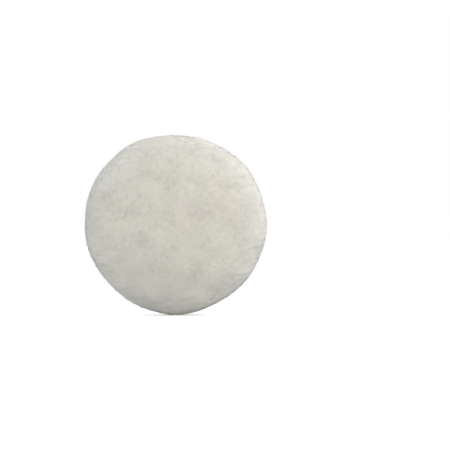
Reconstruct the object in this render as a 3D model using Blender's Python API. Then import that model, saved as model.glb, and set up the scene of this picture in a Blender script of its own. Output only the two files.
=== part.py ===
"""A wool polishing pad with a hook-and-loop back, held upright as on a polisher.

The pad spins about Y. Its loop face lies in the plane Y = 0 and faces +Y, and the wool faces -Y.
A depth is measured from the loop face into the pad, so it is -Y.
The fabric, the foam and the hide are cut to one round outline and overlocked round their edge.
The wool springs from the front of the hide, and its outer locks curl back round that edge.
"""

import math

import bmesh
import bpy

# Whole pad
PAD_RADIUS = 0.0925
PAD_DEPTH = 0.030
DISC_RADIUS = 0.0725
GAP = 0.0003
TURN_STEPS = 72
SHARP_ANGLE = math.radians(40)

# Overlocked edge
STITCHES = 96
THREAD_RADIUS = 0.0003
SEAM_WIDTH = 0.0052
THREAD_DEPTH = 0.00055
SEAM_DEPTH = THREAD_DEPTH + THREAD_RADIUS + GAP
NEEDLE_RADIUS = DISC_RADIUS - SEAM_WIDTH
NEEDLE_DIP = 0.00012
LOOP_TURN_RADIUS = NEEDLE_RADIUS + 2 * THREAD_RADIUS + 1.5 * GAP
EDGE_THREAD_RADIUS = DISC_RADIUS + THREAD_RADIUS + GAP
LOOPER_SPREAD = 0.35

# Layers, each as the depth where it starts and its thickness
FABRIC_THICKNESS = 0.0018
FOAM_START = FABRIC_THICKNESS + GAP
FOAM_THICKNESS = 0.0028
HIDE_START = FOAM_START + FOAM_THICKNESS + GAP
HIDE_THICKNESS = 0.0015
HIDE_END = HIDE_START + HIDE_THICKNESS
LOWER_THREAD_DEPTH = HIDE_END + GAP + THREAD_RADIUS
LOCK_DEPTH = (SEAM_DEPTH + HIDE_END) / 2
LOCK_SPREAD = THREAD_RADIUS + 0.0002
FABRIC_CROWN_RADIUS = NEEDLE_RADIUS - THREAD_RADIUS - 1.5 * GAP
FABRIC_ROUNDING = 0.0006

# Wool
WORK_FLAT_RADIUS = 0.030
WIDEST_DEPTH = 0.0145
DOME_FULLNESS = 2.3
DOME_STEPS = 8
SHOULDER_RADIUS = 0.0810
SHOULDER_DEPTH = 0.0030
SHOULDER_STEPS = 5
COLLAR_RADIUS = EDGE_THREAD_RADIUS + THREAD_RADIUS + 2 * GAP
COLLAR_DEPTH = 0.0050
COLLAR_MID_RADIUS = 0.0768
COLLAR_MID_DEPTH = 0.0035
COLLAR_FLOOR = LOWER_THREAD_DEPTH + THREAD_RADIUS + GAP
ROOT_RADIUS = NEEDLE_RADIUS - THREAD_RADIUS
ROOT_DEPTH = HIDE_END + GAP


def clear_scene():
    for item in list(bpy.data.objects):
        bpy.data.objects.remove(item, do_unlink=True)


def linear(value):
    """One sRGB channel from 0 to 255 as a linear value."""
    share = value / 255
    return share / 12.92 if share <= 0.04045 else ((share + 0.055) / 1.055) ** 2.4


def make_material(name, rgb, roughness):
    material = bpy.data.materials.new(name)
    material.use_nodes = True
    shader = material.node_tree.nodes["Principled BSDF"]
    shader.inputs["Base Color"].default_value = (*[linear(value) for value in rgb], 1)
    shader.inputs["Roughness"].default_value = roughness
    shader.inputs["Metallic"].default_value = 0.0
    return material


def on_pad(radius, depth, angle=0.0):
    """The point at this radius and depth, turned by this angle about the spin axis."""
    return (radius * math.cos(angle), -depth, radius * math.sin(angle))


def turned(name, profile, material):
    """A closed solid made by spinning a profile of (radius, depth) points about the spin axis."""
    shape = bmesh.new()
    points = [shape.verts.new(on_pad(radius, depth)) for radius, depth in profile]
    edges = [shape.edges.new(pair) for pair in zip(points, points[1:])]
    bmesh.ops.spin(
        shape, geom=points + edges, cent=(0, 0, 0), axis=(0, 1, 0), angle=math.tau, steps=TURN_STEPS
    )
    bmesh.ops.remove_doubles(shape, verts=shape.verts, dist=1e-6)
    bmesh.ops.dissolve_degenerate(shape, edges=shape.edges, dist=1e-7)
    bmesh.ops.recalc_face_normals(shape, faces=shape.faces)
    mesh = bpy.data.meshes.new(name)
    shape.to_mesh(mesh)
    shape.free()
    mesh.materials.append(material)
    mesh.shade_smooth()
    mesh.set_sharp_from_angle(angle=SHARP_ANGLE)
    piece = bpy.data.objects.new(name, mesh)
    bpy.context.collection.objects.link(piece)
    return piece


def thread_loop(name, points, material):
    """A thread that runs once round the pad and closes on itself."""
    curve = bpy.data.curves.new(name, "CURVE")
    curve.dimensions = "3D"
    curve.bevel_depth = THREAD_RADIUS
    curve.bevel_resolution = 0
    spline = curve.splines.new("POLY")
    spline.points.add(len(points) - 1)
    for place, point in zip(spline.points, points):
        place.co = (*point, 1)
    spline.use_cyclic_u = True
    spline.use_smooth = True
    curve.materials.append(material)
    piece = bpy.data.objects.new(name, curve)
    bpy.context.collection.objects.link(piece)
    return piece


def quarter(steps):
    """Angles that step evenly through a quarter turn, both ends included."""
    return [math.pi / 2 * step / steps for step in range(steps + 1)]


def make_loop_fabric():
    """The loop knit: a flat crown for the hooks, and a thinner rim that the stitches pull down."""
    crown = FABRIC_CROWN_RADIUS
    rounding = [
        (crown - FABRIC_ROUNDING * (1 - math.sin(turn)), FABRIC_ROUNDING * (1 - math.cos(turn)))
        for turn in quarter(3)
    ]
    profile = [
        (0, 0),
        *rounding,
        (crown, SEAM_DEPTH),
        (DISC_RADIUS, SEAM_DEPTH),
        (DISC_RADIUS, FABRIC_THICKNESS),
        (0, FABRIC_THICKNESS),
    ]
    return turned("loop_fabric", profile, make_material("loop_knit", (236, 233, 237), 0.9))


def layer_profile(start, thickness):
    return [(0, start), (DISC_RADIUS, start), (DISC_RADIUS, start + thickness), (0, start + thickness)]


def make_foam_layer():
    material = make_material("foam", (214, 208, 190), 0.95)
    return turned("foam_layer", layer_profile(FOAM_START, FOAM_THICKNESS), material)


def make_hide_disc():
    material = make_material("hide", (206, 186, 152), 0.75)
    return turned("hide_disc", layer_profile(HIDE_START, HIDE_THICKNESS), material)


def make_wool_pile():
    """The mass of the wool: a flat-topped dome in front, a full edge, and a collar round the disc."""
    power = 2 / DOME_FULLNESS
    dome = [
        (
            WORK_FLAT_RADIUS + (PAD_RADIUS - WORK_FLAT_RADIUS) * math.sin(turn) ** power,
            WIDEST_DEPTH + (PAD_DEPTH - WIDEST_DEPTH) * abs(math.cos(turn)) ** power,
        )
        for turn in quarter(DOME_STEPS)
    ]
    shoulder = [
        (
            SHOULDER_RADIUS + (PAD_RADIUS - SHOULDER_RADIUS) * math.cos(turn),
            WIDEST_DEPTH - (WIDEST_DEPTH - SHOULDER_DEPTH) * math.sin(turn),
        )
        for turn in quarter(SHOULDER_STEPS)
    ]
    profile = [
        (0, PAD_DEPTH),
        *dome[:-1],
        *shoulder,
        (COLLAR_MID_RADIUS, COLLAR_MID_DEPTH),
        (COLLAR_RADIUS, COLLAR_DEPTH),
        (COLLAR_RADIUS, COLLAR_FLOOR),
        (ROOT_RADIUS, COLLAR_FLOOR),
        (ROOT_RADIUS, ROOT_DEPTH),
        (0, ROOT_DEPTH),
    ]
    return turned("wool_pile", profile, make_material("wool", (221, 217, 206), 0.95))


def make_needle_thread(material):
    """The straight line of stitches that holds the loopers, dipping where the needle went in."""
    points = []
    for step in range(2 * STITCHES):
        dip = NEEDLE_DIP if step % 2 else -NEEDLE_DIP
        points.append(on_pad(NEEDLE_RADIUS, THREAD_DEPTH + dip, math.pi * step / STITCHES))
    return thread_loop("needle_thread", points, material)


def looper_points(flat_depth, lock_depth, phase):
    """A looper's path: in to the needle line, out over the edge to the lock, and back, once a stitch."""
    pitch = math.tau / STITCHES
    points = []
    for stitch in range(STITCHES):
        start = (stitch + phase) * pitch
        points += [
            on_pad(LOOP_TURN_RADIUS, flat_depth, start),
            on_pad(EDGE_THREAD_RADIUS, flat_depth, start + LOOPER_SPREAD * pitch),
            on_pad(EDGE_THREAD_RADIUS, lock_depth, start + pitch / 2),
            on_pad(EDGE_THREAD_RADIUS, flat_depth, start + (1 - LOOPER_SPREAD) * pitch),
        ]
    return points


def make_upper_looper_thread(material):
    points = looper_points(THREAD_DEPTH, LOCK_DEPTH - LOCK_SPREAD, 0)
    return thread_loop("upper_looper_thread", points, material)


def make_lower_looper_thread(material):
    points = looper_points(LOWER_THREAD_DEPTH, LOCK_DEPTH + LOCK_SPREAD, 0)
    return thread_loop("lower_looper_thread", points, material)


def main():
    clear_scene()
    thread_material = make_material("thread", (240, 238, 232), 0.7)
    pieces = [
        make_wool_pile(),
        make_hide_disc(),
        make_foam_layer(),
        make_loop_fabric(),
        make_needle_thread(thread_material),
        make_upper_looper_thread(thread_material),
        make_lower_looper_thread(thread_material),
    ]
    pad = bpy.data.objects.new("pad", None)
    bpy.context.collection.objects.link(pad)
    for piece in pieces:
        piece.parent = pad


main()
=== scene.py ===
"""The looks of a wool polishing pad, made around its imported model.

The pad stands upright and spins about Y. Its loop face lies near Y = 0 and faces +Y.
Its wool faces -Y. A depth is measured from the loop face into the pad, so it is -Y.
Lengths are in metres.
"""

import math

import bpy
import numpy as np
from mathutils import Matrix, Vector


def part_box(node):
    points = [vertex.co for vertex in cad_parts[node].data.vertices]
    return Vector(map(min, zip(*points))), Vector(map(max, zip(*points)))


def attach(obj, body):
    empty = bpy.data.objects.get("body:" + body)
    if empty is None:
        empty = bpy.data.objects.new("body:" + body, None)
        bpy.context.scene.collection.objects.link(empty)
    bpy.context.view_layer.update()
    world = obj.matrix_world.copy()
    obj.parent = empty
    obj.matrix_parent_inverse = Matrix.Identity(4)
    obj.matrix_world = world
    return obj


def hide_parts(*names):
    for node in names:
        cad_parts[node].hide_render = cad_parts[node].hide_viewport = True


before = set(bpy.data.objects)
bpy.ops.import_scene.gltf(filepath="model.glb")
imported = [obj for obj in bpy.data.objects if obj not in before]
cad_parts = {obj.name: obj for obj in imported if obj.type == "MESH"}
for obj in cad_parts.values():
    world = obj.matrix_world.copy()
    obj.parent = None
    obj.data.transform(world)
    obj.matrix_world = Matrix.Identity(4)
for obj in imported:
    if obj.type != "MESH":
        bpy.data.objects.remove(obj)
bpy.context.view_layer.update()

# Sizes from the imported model
WOOL_LOW, WOOL_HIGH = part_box("wool_pile")
FABRIC_LOW, FABRIC_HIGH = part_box("loop_fabric")
FOAM_LOW, FOAM_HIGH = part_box("foam_layer")
HIDE_LOW, HIDE_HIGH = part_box("hide_disc")
CAD_THREAD_RADIUS = 0.0003
PAD_RADIUS = WOOL_HIGH.x
PAD_DEPTH = -WOOL_LOW.y
DISC_RADIUS = FABRIC_HIGH.x
FABRIC_END = -FABRIC_LOW.y
FOAM_START, FOAM_END = -FOAM_HIGH.y, -FOAM_LOW.y
HIDE_START, HIDE_END = -HIDE_HIGH.y, -HIDE_LOW.y
NEEDLE_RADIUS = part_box("needle_thread")[1].x - CAD_THREAD_RADIUS
EDGE_THREAD_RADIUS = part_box("upper_looper_thread")[1].x - CAD_THREAD_RADIUS
LOWER_THREAD_DEPTH = -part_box("lower_looper_thread")[0].y - CAD_THREAD_RADIUS

SEED = 7
GOLDEN_TURN = math.pi * (3 - math.sqrt(5))

# Floor, and how the wool flattens where it stands on it
FLOOR_HEIGHT = -PAD_RADIUS - 0.0004
FLOOR_SIZE = 8.0
FLOOR_GAP = 0.00005
SQUASH_HEIGHT = 0.0002
SQUASH = 0.1

# Outer shape of the wool
WIDEST_DEPTH = 0.0145
WORK_FLAT_RADIUS = 0.030
DOME_FULLNESS = 2.3
SHOULDER_RADIUS, SHOULDER_DEPTH = 0.0810, 0.0030
COLLAR_RADIUS, COLLAR_DEPTH = DISC_RADIUS + 0.0014, 0.0031
PROFILE_POINTS = 500
PROFILE_SMOOTHING = 15

# Unevenness of the outline: how far each wave moves it, the waves in a turn, and the phase
OUTLINE_WAVES = ((0.0007, 2, 0.6), (0.0006, 3, -1.1), (0.0004, 5, 2.0), (0.0003, 9, 0.4))
OUTLINE_SHIFT = 0.0003

# Relief of the pile: the width of each kind of lock, its height, what the rim adds, and its seed
PILE_RELIEF = (
    (0.024, 0.00022, 0.0, SEED + 1),
    (0.0065, 0.00005, 0.00019, SEED + 2),
    (0.0022, 0.00002, 0.00010, SEED + 7),
)

# Under-wool
CORE_INSET = 0.0007
CORE_ROWS = 120
CORE_GAP = 0.0001
STITCH_PRESS = 0.0006

# Fibres
FIBRE_COUNT = 170000
FIBRE_PIECES = 10
FIBRE_RADIUS = 0.00010
FIBRE_FLATNESS = 0.7
FIBRE_REACH = 0.0019
FIBRE_ROLL = 0.45
BEND_DEPTH = 0.0005
ROOT_DEPTH = 0.0014
ROW_JITTER = 0.0004
PLACE_JITTER = 0.0003
SWIRL_SIZE, SWIRL_LEAN = 0.040, 0.35
TUFT_SIZE, TUFT_LEAN = 0.0065, 0.18
OWN_LEAN = 0.32
MERIDIAN_LEAN = 1.1
STRAY_SHARE = 0.08
MEAN_STRAY_RISE = 0.0005
STRAY_RISE = 0.0025

# Loose hairs
HAIR_COUNT = 6000
HAIR_RADIUS = 0.00006
HAIR_STEPS = 6
HAIR_ROOT_DEPTH = 0.0012
HAIR_CURL = 0.0006
MEAN_HAIR_RISE = 0.0007

# Shading of the pile
PILE_SHADING = 0.8
SCATTER = 0.55
RELIEF_SHADING = 0.4
RIM_DEPTH = 0.0080
RIM_LIFT = 0.3

# Loop fabric and soft layers
POLE_RADIUS = 0.0015
SEAM_DEPTH = 0.00105
SEAM_REACH = 0.0042
CREASE_DEPTH = 0.0003
CREASE_WIDTH = 0.0010
DIMPLE_DEPTH = 0.0001
EDGE_ROUNDING = 0.0016
SCALLOP = 0.0016
LAYER_RIPPLE = 0.00004
HIDE_BULGE, FOAM_BULGE = 0.0002, 0.0007

# Overlocked edge
STITCHES = 96
SIDES_A_STITCH = 8
PLY_RADIUS = 0.00030
PLY_OFFSET = 0.00027
PLY_SIDES = 5
LOCK_DEPTH = (SEAM_DEPTH + HIDE_END) / 2
TURN_REACH, TURN_DIP = 0.0006, 0.0003
UPPER_ROUNDING, LOWER_ROUNDING = 0.0014, 0.0010
NEEDLE_DEPTH, NEEDLE_DIP = 0.00090, 0.00025


# ---------------------------------------------------------------- shapes


def put_in_scene(name, mesh, material):
    """A smooth-shaded piece made from the mesh."""
    mesh.materials.append(material)
    mesh.shade_smooth()
    piece = bpy.data.objects.new(name, mesh)
    bpy.context.scene.collection.objects.link(piece)
    return piece


def mesh_of(name, points, quads, triangles):
    """A mesh from arrays of points, four-cornered faces and three-cornered faces."""
    mesh = bpy.data.meshes.new(name)
    corners = np.concatenate([np.ravel(quads), np.ravel(triangles)]).astype(np.int32)
    sizes = np.concatenate([np.full(len(quads), 4), np.full(len(triangles), 3)])
    starts = np.concatenate([[0], np.cumsum(sizes)[:-1]]).astype(np.int32)
    mesh.vertices.add(len(points))
    mesh.vertices.foreach_set("co", np.asarray(points, np.float32).ravel())
    mesh.loops.add(len(corners))
    mesh.loops.foreach_set("vertex_index", corners)
    mesh.polygons.add(len(sizes))
    mesh.polygons.foreach_set("loop_start", starts)
    mesh.update(calc_edges=True)
    mesh.validate()
    return mesh


def unit(vectors):
    return vectors / np.maximum(np.linalg.norm(vectors, axis=-1, keepdims=True), 1e-12)


def smooth_step(value, low, high):
    """A value's share of the way from low to high, eased at both ends."""
    share = np.clip((value - low) / (high - low), 0, 1)
    return share * share * (3 - 2 * share)


def around(radius, depth, angle):
    """Points at these radii, depths and angles about the spin axis."""
    radius, depth, angle = np.broadcast_arrays(radius, depth, angle)
    return np.stack([radius * np.cos(angle), -depth, radius * np.sin(angle)], axis=-1)


def grid_quads(rows, columns, closed_rows=False):
    """Faces between neighbouring rows of points, each row a closed ring."""
    first_rows = np.arange(rows if closed_rows else rows - 1)
    row, column = np.meshgrid(first_rows, np.arange(columns), indexing="ij")
    below, beside = (row + 1) % rows, (column + 1) % columns
    corners = [
        row * columns + column,
        below * columns + column,
        below * columns + beside,
        row * columns + beside,
    ]
    return np.stack(corners, axis=-1).reshape(-1, 4)


def turned_skin(name, rings, material):
    """A closed skin through rings of points, one row a ring, with a pole at each end."""
    rows, columns = rings.shape[:2]
    loop = np.arange(columns)
    after = (loop + 1) % columns
    end = (rows - 1) * columns
    first_pole = np.stack([np.full(columns, rows * columns), loop, after], axis=-1)
    last_pole = np.stack([np.full(columns, rows * columns + 1), end + after, end + loop], axis=-1)
    points = np.concatenate([rings.reshape(-1, 3), rings[:1].mean(1), rings[-1:].mean(1)])
    triangles = np.concatenate([first_pole, last_pole])
    return put_in_scene(name, mesh_of(name, points, grid_quads(rows, columns), triangles), material)


def scattered(outward, place):
    """The directions that the pile is shaded by: light that scatters in the wool evens out its rim."""
    lift = np.clip((place[..., 1] + WIDEST_DEPTH) / RIM_DEPTH, -1, 1) * RIM_LIFT
    directions = outward * np.array([SCATTER, 1.0, SCATTER])
    directions[..., 1] += lift
    return unit(directions)


def shade_as(piece, directions):
    """The piece is shaded as if its surface faced these directions, one for each point."""
    piece.data.normals_split_custom_set_from_vertices(directions.reshape(-1, 3).tolist())


def fibres(name, paths, radii, outward, material, seed):
    """Three-sided fibres along the paths, each a closed sliver that ends in a point.

    A fibre's broad side faces out of the pile, and it is shaded mostly as the pile's surface is.
    Its attribute "tip" runs from 0 at its root to 1 at its end.
    """
    count, steps = paths.shape[:2]
    along = unit(np.gradient(paths, axis=1))
    facing = outward + FIBRE_ROLL * np.random.default_rng(seed).normal(size=(count, 3))
    side = unit(np.cross(along, facing[:, None]))
    up = np.cross(side, along)
    corners = np.array([[1.0, 0.0], [-1.0, 0.0], [0.0, -FIBRE_FLATNESS]])[None, None]
    spokes = side[:, :-1, None] * corners[..., :1] + up[:, :-1, None] * corners[..., 1:]
    rings = paths[:, :-1, None] + spokes * radii[:, :-1, None, None]
    points = np.concatenate([rings.reshape(count, -1, 3), paths[:, -1:]], axis=1).reshape(-1, 3)
    tip = 3 * (steps - 1)
    quads, triangles = [], [[0, 1, 2]]
    for corner in range(3):
        after = (corner + 1) % 3
        for ring in range(0, tip - 3, 3):
            quads.append([ring + corner, ring + corner + 3, ring + after + 3, ring + after])
        triangles.append([tip - 3 + corner, tip, tip - 3 + after])
    start = np.arange(count)[:, None, None] * (tip + 1)
    quads = (start + np.array(quads)[None]).reshape(-1, 4)
    triangles = (start + np.array(triangles)[None]).reshape(-1, 3)
    piece = put_in_scene(name, mesh_of(name, points, quads, triangles), material)
    own = np.concatenate([spokes.reshape(count, -1, 3), along[:, -1:]], axis=1)
    pile = scattered(outward, paths[:, -1])[:, None]
    shade_as(piece, unit(own * (1 - PILE_SHADING) + pile * PILE_SHADING))
    tip_share = np.append(np.repeat(np.linspace(0, 1, steps)[:-1], 3), 1.0)
    attribute = piece.data.attributes.new("tip", "FLOAT", "POINT")
    attribute.data.foreach_set("value", np.tile(tip_share, count).astype(np.float32))
    return piece


# ---------------------------------------------------------------- wool


def wool_profile():
    """The wool's outer profile from the middle of its face round the rim to the collar.

    Returns the radius and depth of evenly spaced points, and the outward direction's shares
    along each.
    """
    turn = np.linspace(0, math.pi / 2, 160)
    power = 2 / DOME_FULLNESS
    dome_r = WORK_FLAT_RADIUS + (PAD_RADIUS - WORK_FLAT_RADIUS) * np.sin(turn) ** power
    dome_d = WIDEST_DEPTH + (PAD_DEPTH - WIDEST_DEPTH) * np.abs(np.cos(turn)) ** power
    back_r = SHOULDER_RADIUS + (PAD_RADIUS - SHOULDER_RADIUS) * np.cos(turn)
    back_d = WIDEST_DEPTH - (WIDEST_DEPTH - SHOULDER_DEPTH) * np.sin(turn)
    tuck = np.linspace(0, 1, 20)[1:]
    tuck_r = SHOULDER_RADIUS + (COLLAR_RADIUS - SHOULDER_RADIUS) * tuck
    tuck_d = SHOULDER_DEPTH + (COLLAR_DEPTH - SHOULDER_DEPTH) * tuck**2
    flat_r = np.linspace(0, WORK_FLAT_RADIUS, 30)[:-1]
    flat_d = np.full(len(flat_r), PAD_DEPTH)
    radius = np.concatenate([flat_r, dome_r, back_r[1:], tuck_r])
    depth = np.concatenate([flat_d, dome_d, back_d[1:], tuck_d])
    length = np.concatenate([[0], np.cumsum(np.hypot(np.diff(radius), np.diff(depth)))])
    even = np.linspace(0, length[-1], PROFILE_POINTS)
    radius, depth = np.interp(even, length, radius), np.interp(even, length, depth)
    window = np.ones(PROFILE_SMOOTHING) / PROFILE_SMOOTHING
    margin = PROFILE_SMOOTHING // 2
    out_r = np.convolve(np.pad(-np.gradient(depth), margin, mode="edge"), window, mode="valid")
    out_d = np.convolve(np.pad(np.gradient(radius), margin, mode="edge"), window, mode="valid")
    size = np.hypot(out_r, out_d)
    return radius, depth, out_r / size, out_d / size


def swell(points):
    """Points of the wool moved so that its outline is a little uneven, as a fluffed pad's is.

    Points near the floor are squashed on to it.
    """
    angle = np.arctan2(points[..., 2], points[..., 0])
    reach = np.hypot(points[..., 0], points[..., 2])
    share = np.clip((reach - DISC_RADIUS) / (PAD_RADIUS - DISC_RADIUS), 0, 1.3)
    wave = sum(height * np.cos(count * angle + phase) for height, count, phase in OUTLINE_WAVES)
    scale = 1 + share * (wave - OUTLINE_SHIFT) / np.maximum(reach, 1e-6)
    moved = points.copy()
    moved[..., 0] *= scale
    moved[..., 2] *= scale
    lowest = FLOOR_HEIGHT + SQUASH_HEIGHT
    squashed = lowest + SQUASH * (moved[..., 2] - lowest)
    moved[..., 2] = np.where(moved[..., 2] < lowest, squashed, moved[..., 2])
    moved[..., 2] = np.maximum(moved[..., 2], FLOOR_HEIGHT + FLOOR_GAP)
    return moved


def drift(points, size, seed, waves=16):
    """A smooth random value at each point, from about -1 to 1, that changes over this distance."""
    rng = np.random.default_rng(seed)
    heading = unit(rng.normal(size=(waves, 3))) * rng.uniform(0.7, 1.4, (waves, 1)) * math.tau / size
    phase = rng.uniform(0, math.tau, waves)
    return np.cos(points @ heading.T + phase).sum(-1) / math.sqrt(waves)


def pile_height(points):
    """How far the pile stands above its mean surface: broad swells, and locks deepest at the rim."""
    rim = smooth_step(np.hypot(points[..., 0], points[..., 2]), DISC_RADIUS, PAD_RADIUS)
    return sum(
        (height + at_rim * rim) * drift(points, size, seed)
        for size, height, at_rim, seed in PILE_RELIEF
    )


def spread_on_wool(count, rng):
    """Places spread evenly over the wool.

    Returns the places, three directions at each (out, along the profile and round the pad), and
    each place's share of the way along the profile.
    """
    radius, depth, out_r, out_d = wool_profile()
    step = np.hypot(radius[1] - radius[0], depth[1] - depth[0])
    covered = np.cumsum(radius)
    spot = np.interp((np.arange(count) + 0.5) / count, covered / covered[-1], np.arange(len(radius)))
    spot = np.clip(spot + rng.normal(0, ROW_JITTER / step, count), 0, len(radius) - 1)
    grid = np.arange(len(radius))
    angle = np.arange(count) * GOLDEN_TURN
    place = around(np.interp(spot, grid, radius), np.interp(spot, grid, depth), angle)
    place = place + rng.normal(0, PLACE_JITTER, place.shape)
    outward = unit(around(np.interp(spot, grid, out_r), np.interp(spot, grid, out_d), angle))
    sideways = np.stack([-np.sin(angle), np.zeros(count), np.cos(angle)], axis=-1)
    return place, outward, unit(np.cross(sideways, outward)), sideways, spot / len(radius)


def wool_paths(rng):
    """The path of each fibre, the direction that the pile faces there, and the fibre's share of
    the way from the middle of the face to the collar."""
    place, outward, meridian, sideways, share = spread_on_wool(FIBRE_COUNT, rng)
    height = pile_height(place)
    reach = 0.0004
    facing = outward
    for axis in (meridian, sideways):
        slope = (pile_height(place + reach * axis) - height) / reach
        facing = facing - axis * (RELIEF_SHADING * slope)[:, None]

    # Behind the rim the fibres lie back along the surface, pointing at the rim.
    back = smooth_step(share, 0.70, 0.86) * (1 - smooth_step(share, 0.95, 0.99))
    swirl = np.stack([drift(place, SWIRL_SIZE, SEED + 3), drift(place, SWIRL_SIZE, SEED + 4)], axis=-1)
    tuft = np.stack([drift(place, TUFT_SIZE, SEED + 5), drift(place, TUFT_SIZE, SEED + 6)], axis=-1)
    lean = SWIRL_LEAN * swirl + TUFT_LEAN * tuft + OWN_LEAN * rng.normal(size=(FIBRE_COUNT, 2))
    lean = lean * (1 - 0.5 * back)[:, None]
    collar = smooth_step(share, 0.965, 0.995)
    along = lean[:, :1] + (MERIDIAN_LEAN * collar - MERIDIAN_LEAN * back)[:, None]
    across = along * meridian + lean[:, 1:] * sideways
    across = across * (FIBRE_REACH * rng.uniform(0.7, 1.2, FIBRE_COUNT))[:, None]
    rise = height + rng.normal(-0.0001, 0.00018, FIBRE_COUNT)
    stray = rng.random(FIBRE_COUNT) < STRAY_SHARE
    extra = np.minimum(rng.exponential(MEAN_STRAY_RISE, FIBRE_COUNT), STRAY_RISE)
    rise = rise + np.where(stray, extra, 0)
    tip = place + outward * rise[:, None] + 0.5 * across
    bend = place + outward * (rise * 0.5 - BEND_DEPTH)[:, None] - 0.5 * across
    root = place - outward * ROOT_DEPTH - 0.6 * across
    return swell(np.stack([root, bend, tip], axis=1)), unit(facing), share


def make_stray_hairs(material):
    """Longer hairs that have worked loose and stand a little off the pile."""
    rng = np.random.default_rng(SEED + 30)
    place, outward, meridian, sideways, _ = spread_on_wool(HAIR_COUNT, rng)
    each = (HAIR_COUNT, 1)
    lean = rng.normal(0, 1, (2, *each))
    across = unit(lean[0] * meridian + lean[1] * sideways) * rng.uniform(0.001, 0.0045, each)
    curl = np.cross(outward, unit(across)) * rng.normal(0, HAIR_CURL, each)
    rise = outward * np.minimum(rng.exponential(MEAN_HAIR_RISE, each), STRAY_RISE)
    step = np.linspace(0, 1, HAIR_STEPS)[None, :, None]
    # A hair climbs out of the pile and droops a little, while it bends from side to side.
    paths = (
        (place - HAIR_ROOT_DEPTH * outward)[:, None]
        + (rise + HAIR_ROOT_DEPTH * outward)[:, None] * np.sin(step * math.pi * 0.6)
        + across[:, None] * step**1.3
        + curl[:, None] * np.sin(step * math.pi * 1.5)
    )
    radii = np.linspace(1, 0.5, HAIR_STEPS)[None] * HAIR_RADIUS * rng.uniform(0.8, 1.3, each)
    return fibres("stray_wool_hairs", swell(paths), radii, outward, material, SEED + 31)


def make_wool_fibres(material):
    """The pile's short curled fibres, in pieces that follow one another from the middle outwards."""
    rng = np.random.default_rng(SEED)
    paths, outward, share = wool_paths(rng)
    order = np.argsort(share, kind="stable")
    taper = np.array([[1.0, 0.9, 0.0]]) * FIBRE_RADIUS
    pieces = []
    for index, group in enumerate(np.array_split(order, FIBRE_PIECES)):
        radii = taper * rng.uniform(0.7, 1.3, (len(group), 1))
        name = f"wool_fibres_{index + 1}"
        pieces.append(fibres(name, paths[group], radii, outward[group], material, SEED + index))
    return pieces


def make_wool_core(material):
    """The dense under-wool, cupped round the stitched disc behind."""
    pick = np.linspace(3, PROFILE_POINTS - 1, CORE_ROWS).astype(int)
    radius, depth, out_r, out_d = (values[pick][:, None] for values in wool_profile())
    angle = np.linspace(0, math.tau, STITCHES * SIDES_A_STITCH, endpoint=False)[None]
    skin = around(radius, depth, angle)
    outward = around(out_r, out_d, angle)
    skin = swell(skin + outward * (pile_height(skin) - CORE_INSET)[..., None])
    # The wool presses in between the stitches round the disc.
    press = STITCH_PRESS * (1 + np.cos(STITCHES * angle)) / 2
    near_disc = smooth_step(-radius, -COLLAR_RADIUS - 0.0012, -COLLAR_RADIUS)
    collar = near_disc * (depth < WIDEST_DEPTH) * press
    skin = skin - around(collar, 0 * collar, angle)
    wall_r = EDGE_THREAD_RADIUS + PLY_OFFSET + PLY_RADIUS + CORE_GAP
    floor_d = LOWER_THREAD_DEPTH + PLY_OFFSET + PLY_RADIUS + CORE_GAP
    under_d = HIDE_END + CAD_THREAD_RADIUS
    inner_r = np.array([wall_r, wall_r, NEEDLE_RADIUS, NEEDLE_RADIUS - 0.001, 0.02, 0.002])[:, None]
    inner_d = np.array([COLLAR_DEPTH + 0.0020, floor_d, floor_d, under_d, under_d, under_d])[:, None]
    inner_r = inner_r - np.array([1.0, 0, 0, 0, 0, 0])[:, None] * press
    core = turned_skin("wool_core", np.concatenate([skin, around(inner_r, inner_d, angle)]), material)
    core.data.update()
    shading = np.array([corner.vector for corner in core.data.vertex_normals])
    outer = skin.reshape(-1, 3)
    shading[:len(outer)] = scattered(shading[:len(outer)], outer)
    shade_as(core, shading)
    return core


# ---------------------------------------------------------------- layers of the disc


def fabric_top(radius, angle):
    """The depth of the fabric's face: a flat crown, a crease at the needle line, a rounded edge."""
    wave = np.cos(STITCHES * angle)
    seam = smooth_step(radius, NEEDLE_RADIUS - SEAM_REACH, NEEDLE_RADIUS - 0.0004)
    crease = np.exp(-(((radius - NEEDLE_RADIUS) / CREASE_WIDTH) ** 2))
    over = np.clip((radius - (DISC_RADIUS - EDGE_ROUNDING)) / EDGE_ROUNDING, 0, 1)
    drop = (FABRIC_END - SEAM_DEPTH) * (1 - np.sqrt(1 - over**2))
    pulled = SEAM_DEPTH * seam + CREASE_DEPTH * crease * (0.8 + 0.35 * wave)
    return pulled - DIMPLE_DEPTH * seam * wave * (1 - over) + drop


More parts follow.
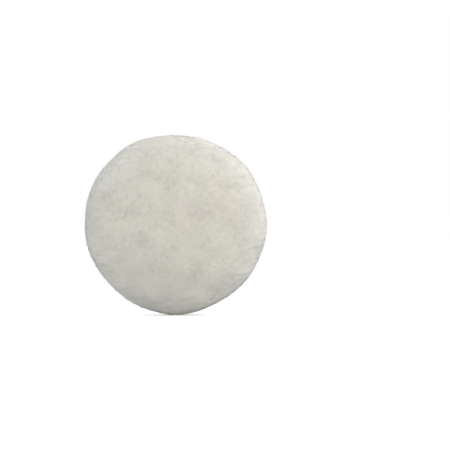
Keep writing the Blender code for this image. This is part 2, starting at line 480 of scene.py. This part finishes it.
def make_loop_fabric(material):
    """The loop knit, which the stitches dimple and pull down round its edge."""
    angle = np.linspace(0, math.tau, STITCHES * SIDES_A_STITCH, endpoint=False)[None]
    band_start = NEEDLE_RADIUS - 0.005
    crown = np.linspace(POLE_RADIUS, band_start, 34)[:-1]
    band = np.linspace(band_start, DISC_RADIUS - EDGE_ROUNDING, 24)[:-1]
    over = DISC_RADIUS - EDGE_ROUNDING * (1 - np.sin(np.linspace(0, math.pi / 2, 8)))
    radius = np.concatenate([crown, band, over])[:, None]
    top = around(radius, fabric_top(radius, angle), angle)
    soft = smooth_step(-radius, -NEEDLE_RADIUS, -NEEDLE_RADIUS + 0.006)
    ripple = 0.00005 * drift(top, 0.016, SEED + 11) + 0.00003 * drift(top, 0.005, SEED + 12)
    top[..., 1] += soft * ripple
    edge = smooth_step(radius, NEEDLE_RADIUS, DISC_RADIUS)
    scallop = 1 + SCALLOP * edge * np.cos(STITCHES * angle)
    top[..., 0] *= scallop
    top[..., 2] *= scallop
    under_r = np.array([DISC_RADIUS - 0.0006, 0.055, 0.030, POLE_RADIUS])[:, None]
    under = around(under_r, FABRIC_END, angle)
    return turned_skin("brushed_loop_fabric", np.concatenate([top, under])[::-1], material)


def make_soft_layer(name, start, end, bulge, seed, material):
    """A soft disc whose edge is rounded, and bulges between the stitches that wrap it."""
    angle = np.linspace(0, math.tau, STITCHES * 4, endpoint=False)[None]
    turn = np.linspace(-math.pi / 2, math.pi / 2, 9)[:, None]
    middle, half = (start + end) / 2, (end - start) / 2
    swollen = bulge * (1 + np.cos(STITCHES * angle)) / 2
    edge_r = DISC_RADIUS - half * (1 - np.cos(turn)) * 0.8 + swollen * np.cos(turn)
    edge_d = middle + half * np.sin(turn)
    edge = around(edge_r, edge_d, angle)
    flat_r = np.array([POLE_RADIUS, 0.02, 0.04, 0.06, 0.068])[:, None]
    back, front = around(flat_r, start, angle), around(flat_r[::-1], end, angle)
    rings = np.concatenate([back, edge, front])
    reach = np.hypot(rings[..., 0], rings[..., 2])
    ripple = drift(rings, 0.018, seed) * smooth_step(reach, 0.0, 0.06)
    rings[..., 1] += LAYER_RIPPLE * ripple
    return turned_skin(name, rings[::-1], material)


# ---------------------------------------------------------------- threads


def even_loop(path, count):
    """A closed path, with whatever else each point carries, walked again in this many even steps."""
    closed = np.concatenate([path, path[:1]])
    length = np.concatenate([[0], np.cumsum(np.linalg.norm(np.diff(closed[:, :3], axis=0), axis=1))])
    goal = np.linspace(0, length[-1], count, endpoint=False)
    return np.stack([np.interp(goal, length, values) for values in closed.T], axis=-1)


def twisted_thread(name, path, normals, steps, turns, material):
    """A thread of two plies along a path that closes on itself.

    The steps along it and the turns of its twist are counted for each stitch.
    """
    walked = even_loop(np.concatenate([path, normals], axis=1), steps * STITCHES)
    centre, normal = walked[:, :3], walked[:, 3:]
    along = unit(np.roll(centre, -1, axis=0) - np.roll(centre, 1, axis=0))
    side = unit(np.cross(along, normal))
    up = np.cross(side, along)
    twist = math.tau * turns * STITCHES * np.arange(len(centre)) / len(centre)
    points, quads = [], []
    for ply in range(2):
        phase = (twist + math.pi * ply)[:, None]
        line = centre + PLY_OFFSET * (side * np.cos(phase) + up * np.sin(phase))
        heading = unit(np.roll(line, -1, axis=0) - np.roll(line, 1, axis=0))
        across = unit(np.cross(heading, normal))
        above = np.cross(across, heading)
        round_it = (math.tau * np.arange(PLY_SIDES) / PLY_SIDES)[None, :, None]
        spokes = across[:, None] * np.cos(round_it) + above[:, None] * np.sin(round_it)
        rings = line[:, None] + PLY_RADIUS * spokes
        points.append(rings.reshape(-1, 3))
        quads.append(grid_quads(len(line), PLY_SIDES, closed_rows=True) + ply * len(line) * PLY_SIDES)
    mesh = mesh_of(name, np.concatenate(points), np.concatenate(quads), np.zeros((0, 3), int))
    return put_in_scene(name, mesh, material)


def edge_section(near_depth, lock_depth, rounding, count=80):
    """A looper's way in section, from the needle line over the edge to the lock, evenly spaced.

    Returns the radius and depth of each point, and the outward direction's shares along each.
    """
    into = math.copysign(1, lock_depth - near_depth)
    start_r = NEEDLE_RADIUS + TURN_REACH
    turn = np.linspace(0, math.pi / 2, 12)
    arc_r = EDGE_THREAD_RADIUS - rounding * (1 - np.sin(turn))
    arc_d = near_depth + into * rounding * (1 - np.cos(turn))
    radius = np.concatenate([[start_r], arc_r, [EDGE_THREAD_RADIUS]])
    depth = np.concatenate([[near_depth], arc_d, [lock_depth]])
    length = np.concatenate([[0], np.cumsum(np.hypot(np.diff(radius), np.diff(depth)))])
    even = np.linspace(0, length[-1], count)
    radius, depth = np.interp(even, length, radius), np.interp(even, length, depth)
    slope_r, slope_d = np.gradient(radius), np.gradient(depth)
    size = np.hypot(slope_r, slope_d) * into
    # The thread dives a little where it turns round the needle's line.
    depth = depth + into * TURN_DIP * np.exp(-(((radius - start_r) / 0.0007) ** 2))
    return radius, depth, slope_d / size, -slope_r / size


def looper_path(near_depth, lock_depth, rounding, seed, steps=96):
    """A looper's path round the pad, with the outward direction at each point."""
    rng = np.random.default_rng(seed)
    stitch, share = np.meshgrid(np.arange(STITCHES), np.arange(steps) / steps, indexing="ij")
    shift = rng.normal(0, 0.03, STITCHES)
    shift = shift[stitch] * (1 - share) + np.roll(shift, -1)[stitch] * share
    # Each stitch runs out and back almost radially, as a close pair of bars.
    turn = math.tau * share
    lateral = share + 0.13 * np.sin(turn) + 0.8 * np.sin(2 * math.tau * share) / (2 * math.tau)
    angle = (stitch + lateral + shift) * math.tau / STITCHES
    way = (1 - np.cos(turn)) / 2 * (1 - 0.05 * rng.random(STITCHES))[stitch]
    section = edge_section(near_depth, lock_depth, rounding)
    grid = np.linspace(0, 1, len(section[0]))
    radius, depth, out_r, out_d = (np.interp(way, grid, values) for values in section)
    return around(radius, depth, angle).reshape(-1, 3), around(out_r, out_d, angle).reshape(-1, 3)


def make_threads(material):
    """The three threads of the overlock: two loopers that lock at the edge, and the needle's line."""
    reach = PLY_OFFSET + PLY_RADIUS
    upper_depth = SEAM_DEPTH - 0.9 * reach
    upper = looper_path(upper_depth, LOCK_DEPTH - reach, UPPER_ROUNDING, SEED + 21)
    lower = looper_path(LOWER_THREAD_DEPTH, LOCK_DEPTH + reach, LOWER_ROUNDING, SEED + 22)
    turn = np.linspace(0, math.tau, STITCHES * 24, endpoint=False)
    dip = NEEDLE_DEPTH + NEEDLE_DIP * np.cos(STITCHES * turn)
    needle = around(NEEDLE_RADIUS, dip, turn), around(np.zeros(len(turn)), -1.0, turn)
    return (
        twisted_thread("upper_looper_plies", *upper, 48, 5, material),
        twisted_thread("lower_looper_plies", *lower, 32, 3, material),
        twisted_thread("needle_plies", *needle, 12, 1, material),
    )


# ---------------------------------------------------------------- materials


def new_material(name):
    """A material, its node tree and its Principled shader."""
    material = bpy.data.materials.new(name)
    material.use_nodes = True
    tree = material.node_tree
    return material, tree, tree.nodes["Principled BSDF"]


def node(tree, kind, **values):
    """A new node, with these values on its sockets or, where it has no such socket, on itself."""
    made = tree.nodes.new(kind)
    for key, value in values.items():
        if key in made.inputs:
            made.inputs[key].default_value = value
        else:
            setattr(made, key, value)
    return made


def object_place(tree, stretch=(1, 1, 1)):
    """Each point's place on the object, with each axis stretched by this much."""
    mapping = node(tree, "ShaderNodeMapping", Scale=stretch)
    tree.links.new(node(tree, "ShaderNodeTexCoord").outputs["Object"], mapping.inputs["Vector"])
    return mapping.outputs["Vector"]


def object_noise(tree, scale, detail=3.0):
    """A noise that is fixed to the object, with its scale in cycles a metre."""
    noise = node(tree, "ShaderNodeTexNoise", Scale=scale, Detail=detail)
    tree.links.new(object_place(tree), noise.inputs["Vector"])
    return noise.outputs["Fac"]


def blend_colours(tree, share, first, second):
    """A colour between two, each a colour or a socket, by a share from 0 to 1."""
    mix = node(tree, "ShaderNodeMix", data_type="RGBA")
    tree.links.new(share, mix.inputs[0])
    for socket, value in ((mix.inputs[6], first), (mix.inputs[7], second)):
        if isinstance(value, tuple):
            socket.default_value = (*value, 1)
        else:
            tree.links.new(value, socket)
    return mix.outputs[2]


def spread(tree, value, low, high, out_low=0.0, out_high=1.0):
    """A value mapped from one range to another, and held inside it."""
    made = node(tree, "ShaderNodeMapRange")
    tree.links.new(value, made.inputs["Value"])
    ends = {"From Min": low, "From Max": high, "To Min": out_low, "To Max": out_high}
    for key, number in ends.items():
        made.inputs[key].default_value = number
    return made.outputs["Result"]


def combine(tree, operation, first, second):
    """The result of arithmetic on two values, each a number or a socket."""
    made = node(tree, "ShaderNodeMath", operation=operation)
    for socket, value in zip(made.inputs, (first, second)):
        if isinstance(value, (int, float)):
            socket.default_value = value
        else:
            tree.links.new(value, socket)
    return made.outputs["Value"]


def add_bump(tree, shader, height, strength, distance):
    bump = node(tree, "ShaderNodeBump", Strength=strength, Distance=distance)
    tree.links.new(height, bump.inputs["Height"])
    tree.links.new(bump.outputs["Normal"], shader.inputs["Normal"])


def set_surface(shader, sheen, specular):
    shader.inputs["Sheen Weight"].default_value = sheen
    shader.inputs["Sheen Roughness"].default_value = 0.5
    shader.inputs["Specular IOR Level"].default_value = specular


def radius_share(tree, low, high):
    """How far each point is from one radius to another about the spin axis."""
    length = node(tree, "ShaderNodeVectorMath", operation="LENGTH")
    tree.links.new(object_place(tree, (1, 0, 1)), length.inputs[0])
    return spread(tree, length.outputs["Value"], low, high)


def wool_material(name, cream, olive, pink, rim_sheen):
    """Cream wool: broad drifts of tint, darker tufts, a rim paled by painted sheen, and painted shade
    towards the fibres' roots.
    """
    material, tree, shader = new_material(name)
    broad = spread(tree, object_noise(tree, 20, 2.0), 0.35, 0.65)
    tuft = spread(tree, object_noise(tree, 130, 2.0), 0.35, 0.65)
    # Small spots of painted shade, standing for the shade in the gaps between tufts.
    gap_shade = spread(tree, object_noise(tree, 520, 1.0), 0.58, 0.72)
    own = node(tree, "ShaderNodeNewGeometry").outputs["Random Per Island"]
    colour = blend_colours(tree, broad, cream, pink)
    colour = blend_colours(tree, spread(tree, tuft, 0, 1, 0, 0.4), colour, olive)
    # Painted sheen: the rim is paled towards a lighter colour, standing in for the sheen that lightens
    # it.
    colour = blend_colours(tree, radius_share(tree, 0.064, 0.089), colour, rim_sheen)
    colour = blend_colours(tree, spread(tree, own, 0, 1, 0, 0.2), colour, olive)
    # Painted shade: each fibre is darkened towards its root, as if shaded deep in the pile.
    tip = node(tree, "ShaderNodeAttribute", attribute_name="tip").outputs["Fac"]
    shade = tuple(0.8 * part for part in olive)
    colour = blend_colours(tree, spread(tree, tip, 0.4, 1, 0.2, 0), colour, shade)
    # Painted shade: the spots darken the colour where gaps between tufts would be shaded.
    colour = blend_colours(tree, spread(tree, gap_shade, 0, 1, 0, 0.05), colour, shade)
    tree.links.new(colour, shader.inputs["Base Color"])
    tree.links.new(spread(tree, tuft, 0, 1, 0.85, 0.97), shader.inputs["Roughness"])
    set_surface(shader, 0.4, 0.15)
    add_bump(tree, shader, object_noise(tree, 2200, 2.0), 0.2, 0.0002)
    return material


def ribs(tree, direction, scale):
    """Even ribs across one axis of the object, from 0 to 1."""
    wave = node(
        tree, "ShaderNodeTexWave", bands_direction=direction, Scale=scale, Distortion=1.5, Detail=2.0
    )
    wave.inputs["Detail Scale"].default_value = 1.5
    tree.links.new(object_place(tree), wave.inputs["Vector"])
    return wave.outputs["Fac"]


def loop_knit_material():
    """Brushed white knit: faint ribs under a nap of fine loops, lightened in flecks by painted
    highlights, and creamier where the edge is bound.
    """
    material, tree, shader = new_material("loop_knit")
    nap = object_noise(tree, 1400, 4.0)
    cloud = spread(tree, object_noise(tree, 45, 2.0), 0.3, 0.7)
    colour = blend_colours(tree, cloud, (0.655, 0.635, 0.661), (0.639, 0.621, 0.643))
    # The nap's noise also lightens the colour: a painted highlight on the raised loops.
    colour = blend_colours(tree, spread(tree, nap, 0.35, 0.75, 0, 0.25), colour, (0.705, 0.692, 0.708))
    colour = blend_colours(tree, radius_share(tree, 0.0655, 0.0685), colour, (0.75, 0.737, 0.71))
    tree.links.new(colour, shader.inputs["Base Color"])
    tree.links.new(spread(tree, nap, 0.3, 0.7, 0.82, 0.96), shader.inputs["Roughness"])
    set_surface(shader, 0.3, 0.2)
    knit = combine(tree, "MULTIPLY", ribs(tree, "X", 140), ribs(tree, "Z", 190))
    height = combine(tree, "ADD", nap, combine(tree, "MULTIPLY", knit, 0.35))
    add_bump(tree, shader, height, 0.35, 0.00025)
    return material


def foam_material():
    """Pale open-cell foam: small round pores, darkened inside by painted shade, on a faintly uneven
    cream.
    """
    material, tree, shader = new_material("foam_cells")
    cells = node(tree, "ShaderNodeTexVoronoi", Scale=1600)
    tree.links.new(object_place(tree), cells.inputs["Vector"])
    wall = spread(tree, cells.outputs["Distance"], 0.1, 0.7)
    cloud = object_noise(tree, 120)
    colour = blend_colours(tree, spread(tree, cloud, 0.3, 0.7), (0.70, 0.66, 0.55), (0.64, 0.60, 0.48))
    # Painted shade: the middle of each pore is darkened, as if shaded inside.
    colour = blend_colours(tree, spread(tree, wall, 0, 1, 0.35, 0), colour, (0.42, 0.38, 0.29))
    tree.links.new(colour, shader.inputs["Base Color"])
    tree.links.new(spread(tree, wall, 0, 1, 0.98, 0.85), shader.inputs["Roughness"])
    set_surface(shader, 0.1, 0.2)
    add_bump(tree, shader, wall, 0.6, 0.0003)
    return material


def hide_material():
    """Undyed suede: a fine nap over a mottled tan, with pale scuffs."""
    material, tree, shader = new_material("suede_hide")
    mottle = spread(tree, object_noise(tree, 70, 5.0), 0.3, 0.7)
    nap = object_noise(tree, 2600, 4.0)
    colour = blend_colours(tree, mottle, (0.62, 0.49, 0.31), (0.53, 0.40, 0.24))
    colour = blend_colours(tree, spread(tree, nap, 0.4, 0.7, 0, 0.3), colour, (0.72, 0.60, 0.42))
    tree.links.new(colour, shader.inputs["Base Color"])
    tree.links.new(spread(tree, nap, 0.3, 0.7, 0.7, 0.92), shader.inputs["Roughness"])
    set_surface(shader, 0.3, 0.3)
    add_bump(tree, shader, nap, 0.5, 0.0003)
    return material


def thread_material():
    """Spun creamy-white thread, each ply a little apart, with fine fibre along it."""
    material, tree, shader = new_material("spun_thread")
    fuzz = object_noise(tree, 5000, 3.0)
    cloud = spread(tree, object_noise(tree, 60, 2.0), 0.3, 0.7)
    own = node(tree, "ShaderNodeNewGeometry").outputs["Random Per Island"]
    colour = blend_colours(tree, cloud, (0.84, 0.825, 0.787), (0.81, 0.796, 0.753))
    colour = blend_colours(tree, spread(tree, own, 0, 1, 0, 0.4), colour, (0.785, 0.765, 0.713))
    colour = blend_colours(tree, spread(tree, fuzz, 0.45, 0.75, 0, 0.3), colour, (0.885, 0.875, 0.85))
    tree.links.new(colour, shader.inputs["Base Color"])
    tree.links.new(spread(tree, fuzz, 0.3, 0.7, 0.6, 0.85), shader.inputs["Roughness"])
    set_surface(shader, 0.35, 0.3)
    add_bump(tree, shader, fuzz, 0.4, 0.0001)
    return material


# ---------------------------------------------------------------- stage


def seen_and_lit(tree, seen, lit):
    """One value where the camera looks straight at a surface, and another where light bounces off it."""
    looks = node(tree, "ShaderNodeLightPath").outputs["Is Camera Ray"]
    return spread(tree, looks, 0, 1, lit, seen)


def make_stage():
    """A pale floor under the pad and soft white surroundings."""
    corners = [(x * FLOOR_SIZE, y * FLOOR_SIZE, 0) for x, y in ((-1, -1), (1, -1), (1, 1), (-1, 1))]
    mesh = bpy.data.meshes.new("floor")
    mesh.from_pydata(corners, [], [(0, 1, 2, 3)])
    floor = bpy.data.objects.new("floor", mesh)
    floor.location.z = FLOOR_HEIGHT
    bpy.context.scene.collection.objects.link(floor)
    material, tree, shader = new_material("floor_card")
    tree.links.new(seen_and_lit(tree, 1.0, 0.55), shader.inputs["Base Color"])
    shader.inputs["Roughness"].default_value = 1.0
    shader.inputs["Specular IOR Level"].default_value = 0.0
    mesh.materials.append(material)

    world = bpy.data.worlds.new("studio")
    bpy.context.scene.world = world
    world.use_nodes = True
    tree = world.node_tree
    sky = tree.nodes["Background"]
    sky.inputs["Color"].default_value = (1.0, 1.0, 1.0, 1)
    tree.links.new(seen_and_lit(tree, 1.0, 0.53), sky.inputs["Strength"])


def add_sun(name, direction, strength, spread_degrees):
    """A lamp so far off that its light is even, coming from this direction."""
    lamp = bpy.data.lights.new(name, "SUN")
    lamp.energy = strength
    lamp.angle = math.radians(spread_degrees)
    holder = bpy.data.objects.new(name, lamp)
    holder.rotation_euler = Vector(direction).to_track_quat("Z", "Y").to_euler()
    bpy.context.scene.collection.objects.link(holder)


def add_softbox(name, place, size, power, tint=(1.0, 1.0, 1.0)):
    """A square lamp near the pad, turned to face it."""
    lamp = bpy.data.lights.new(name, "AREA")
    lamp.size = size
    lamp.energy = power
    lamp.color = tint
    holder = bpy.data.objects.new(name, lamp)
    holder.visible_camera = False
    holder.location = place
    holder.rotation_euler = Vector(place).to_track_quat("Z", "Y").to_euler()
    bpy.context.scene.collection.objects.link(holder)


def make_lights():
    """A soft key lamp high on the right, a cool fill on the left, and a wide light on the back."""
    add_softbox("key", (0.36, -0.27, 0.38), 0.45, 2.9)
    add_softbox("fill", (-0.45, -0.30, 0.04), 0.45, 0.85, (0.88, 0.95, 1.0))
    add_sun("back_fill", (-0.25, 0.75, 0.62), 2.6, 70)


def make_camera():
    """Square on to the wool, with the pad left of the middle of a square picture."""
    camera = bpy.data.objects.new("camera", bpy.data.cameras.new("camera"))
    camera.data.lens = 118
    camera.data.clip_end = 20
    camera.location = (0.0507, -1.52, -0.0011)
    camera.rotation_euler = (math.pi / 2, 0, 0)
    bpy.context.scene.collection.objects.link(camera)
    bpy.context.scene.camera = camera
    bpy.context.scene.view_settings.view_transform = "Standard"


# ---------------------------------------------------------------- pad


def place_on_pad(piece, slot, *nodes):
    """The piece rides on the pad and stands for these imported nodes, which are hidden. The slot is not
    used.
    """
    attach(piece, "root")
    if nodes:
        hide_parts(*nodes)


def make_wool():
    """The under-wool, the fibres that cover it and the loose hairs."""
    wool = wool_material(
        "wool",
        cream=(0.82, 0.795, 0.70),
        olive=(0.78, 0.767, 0.66),
        pink=(0.823, 0.772, 0.70),
        # painted sheen colour for the rim
        rim_sheen=(0.835, 0.82, 0.77),
    )
    # A darker copy of the wool's colours for the under-wool: painted shade for the depth of the pile.
    shaded_under_wool = wool_material(
        "shaded_under_wool",
        cream=(0.80, 0.777, 0.684),
        olive=(0.763, 0.749, 0.642),
        pink=(0.804, 0.753, 0.679),
        # painted sheen colour for the rim
        rim_sheen=(0.815, 0.80, 0.75),
    )
    core = make_wool_core(shaded_under_wool)
    place_on_pad(core, "wool", "wool_pile")
    for piece in (*make_wool_fibres(wool), make_stray_hairs(wool)):
        place_on_pad(piece, "wool")


def make_disc():
    """The layers of the stitched disc, and the threads round its edge."""
    hide = make_soft_layer(
        "suede_hide_disc", HIDE_START, HIDE_END, HIDE_BULGE, SEED + 13, hide_material()
    )
    place_on_pad(hide, "hide", "hide_disc")
    foam = make_soft_layer(
        "soft_foam_layer", FOAM_START, FOAM_END, FOAM_BULGE, SEED + 14, foam_material()
    )
    place_on_pad(foam, "foam", "foam_layer")
    fabric = make_loop_fabric(loop_knit_material())
    place_on_pad(fabric, "loop_fabric", "loop_fabric")
    nodes = "upper_looper_thread", "lower_looper_thread", "needle_thread"
    for piece, cad_node in zip(make_threads(thread_material()), nodes):
        place_on_pad(piece, "thread", cad_node)


def main():
    make_wool()
    make_disc()
    make_stage()
    make_lights()
    make_camera()


main()
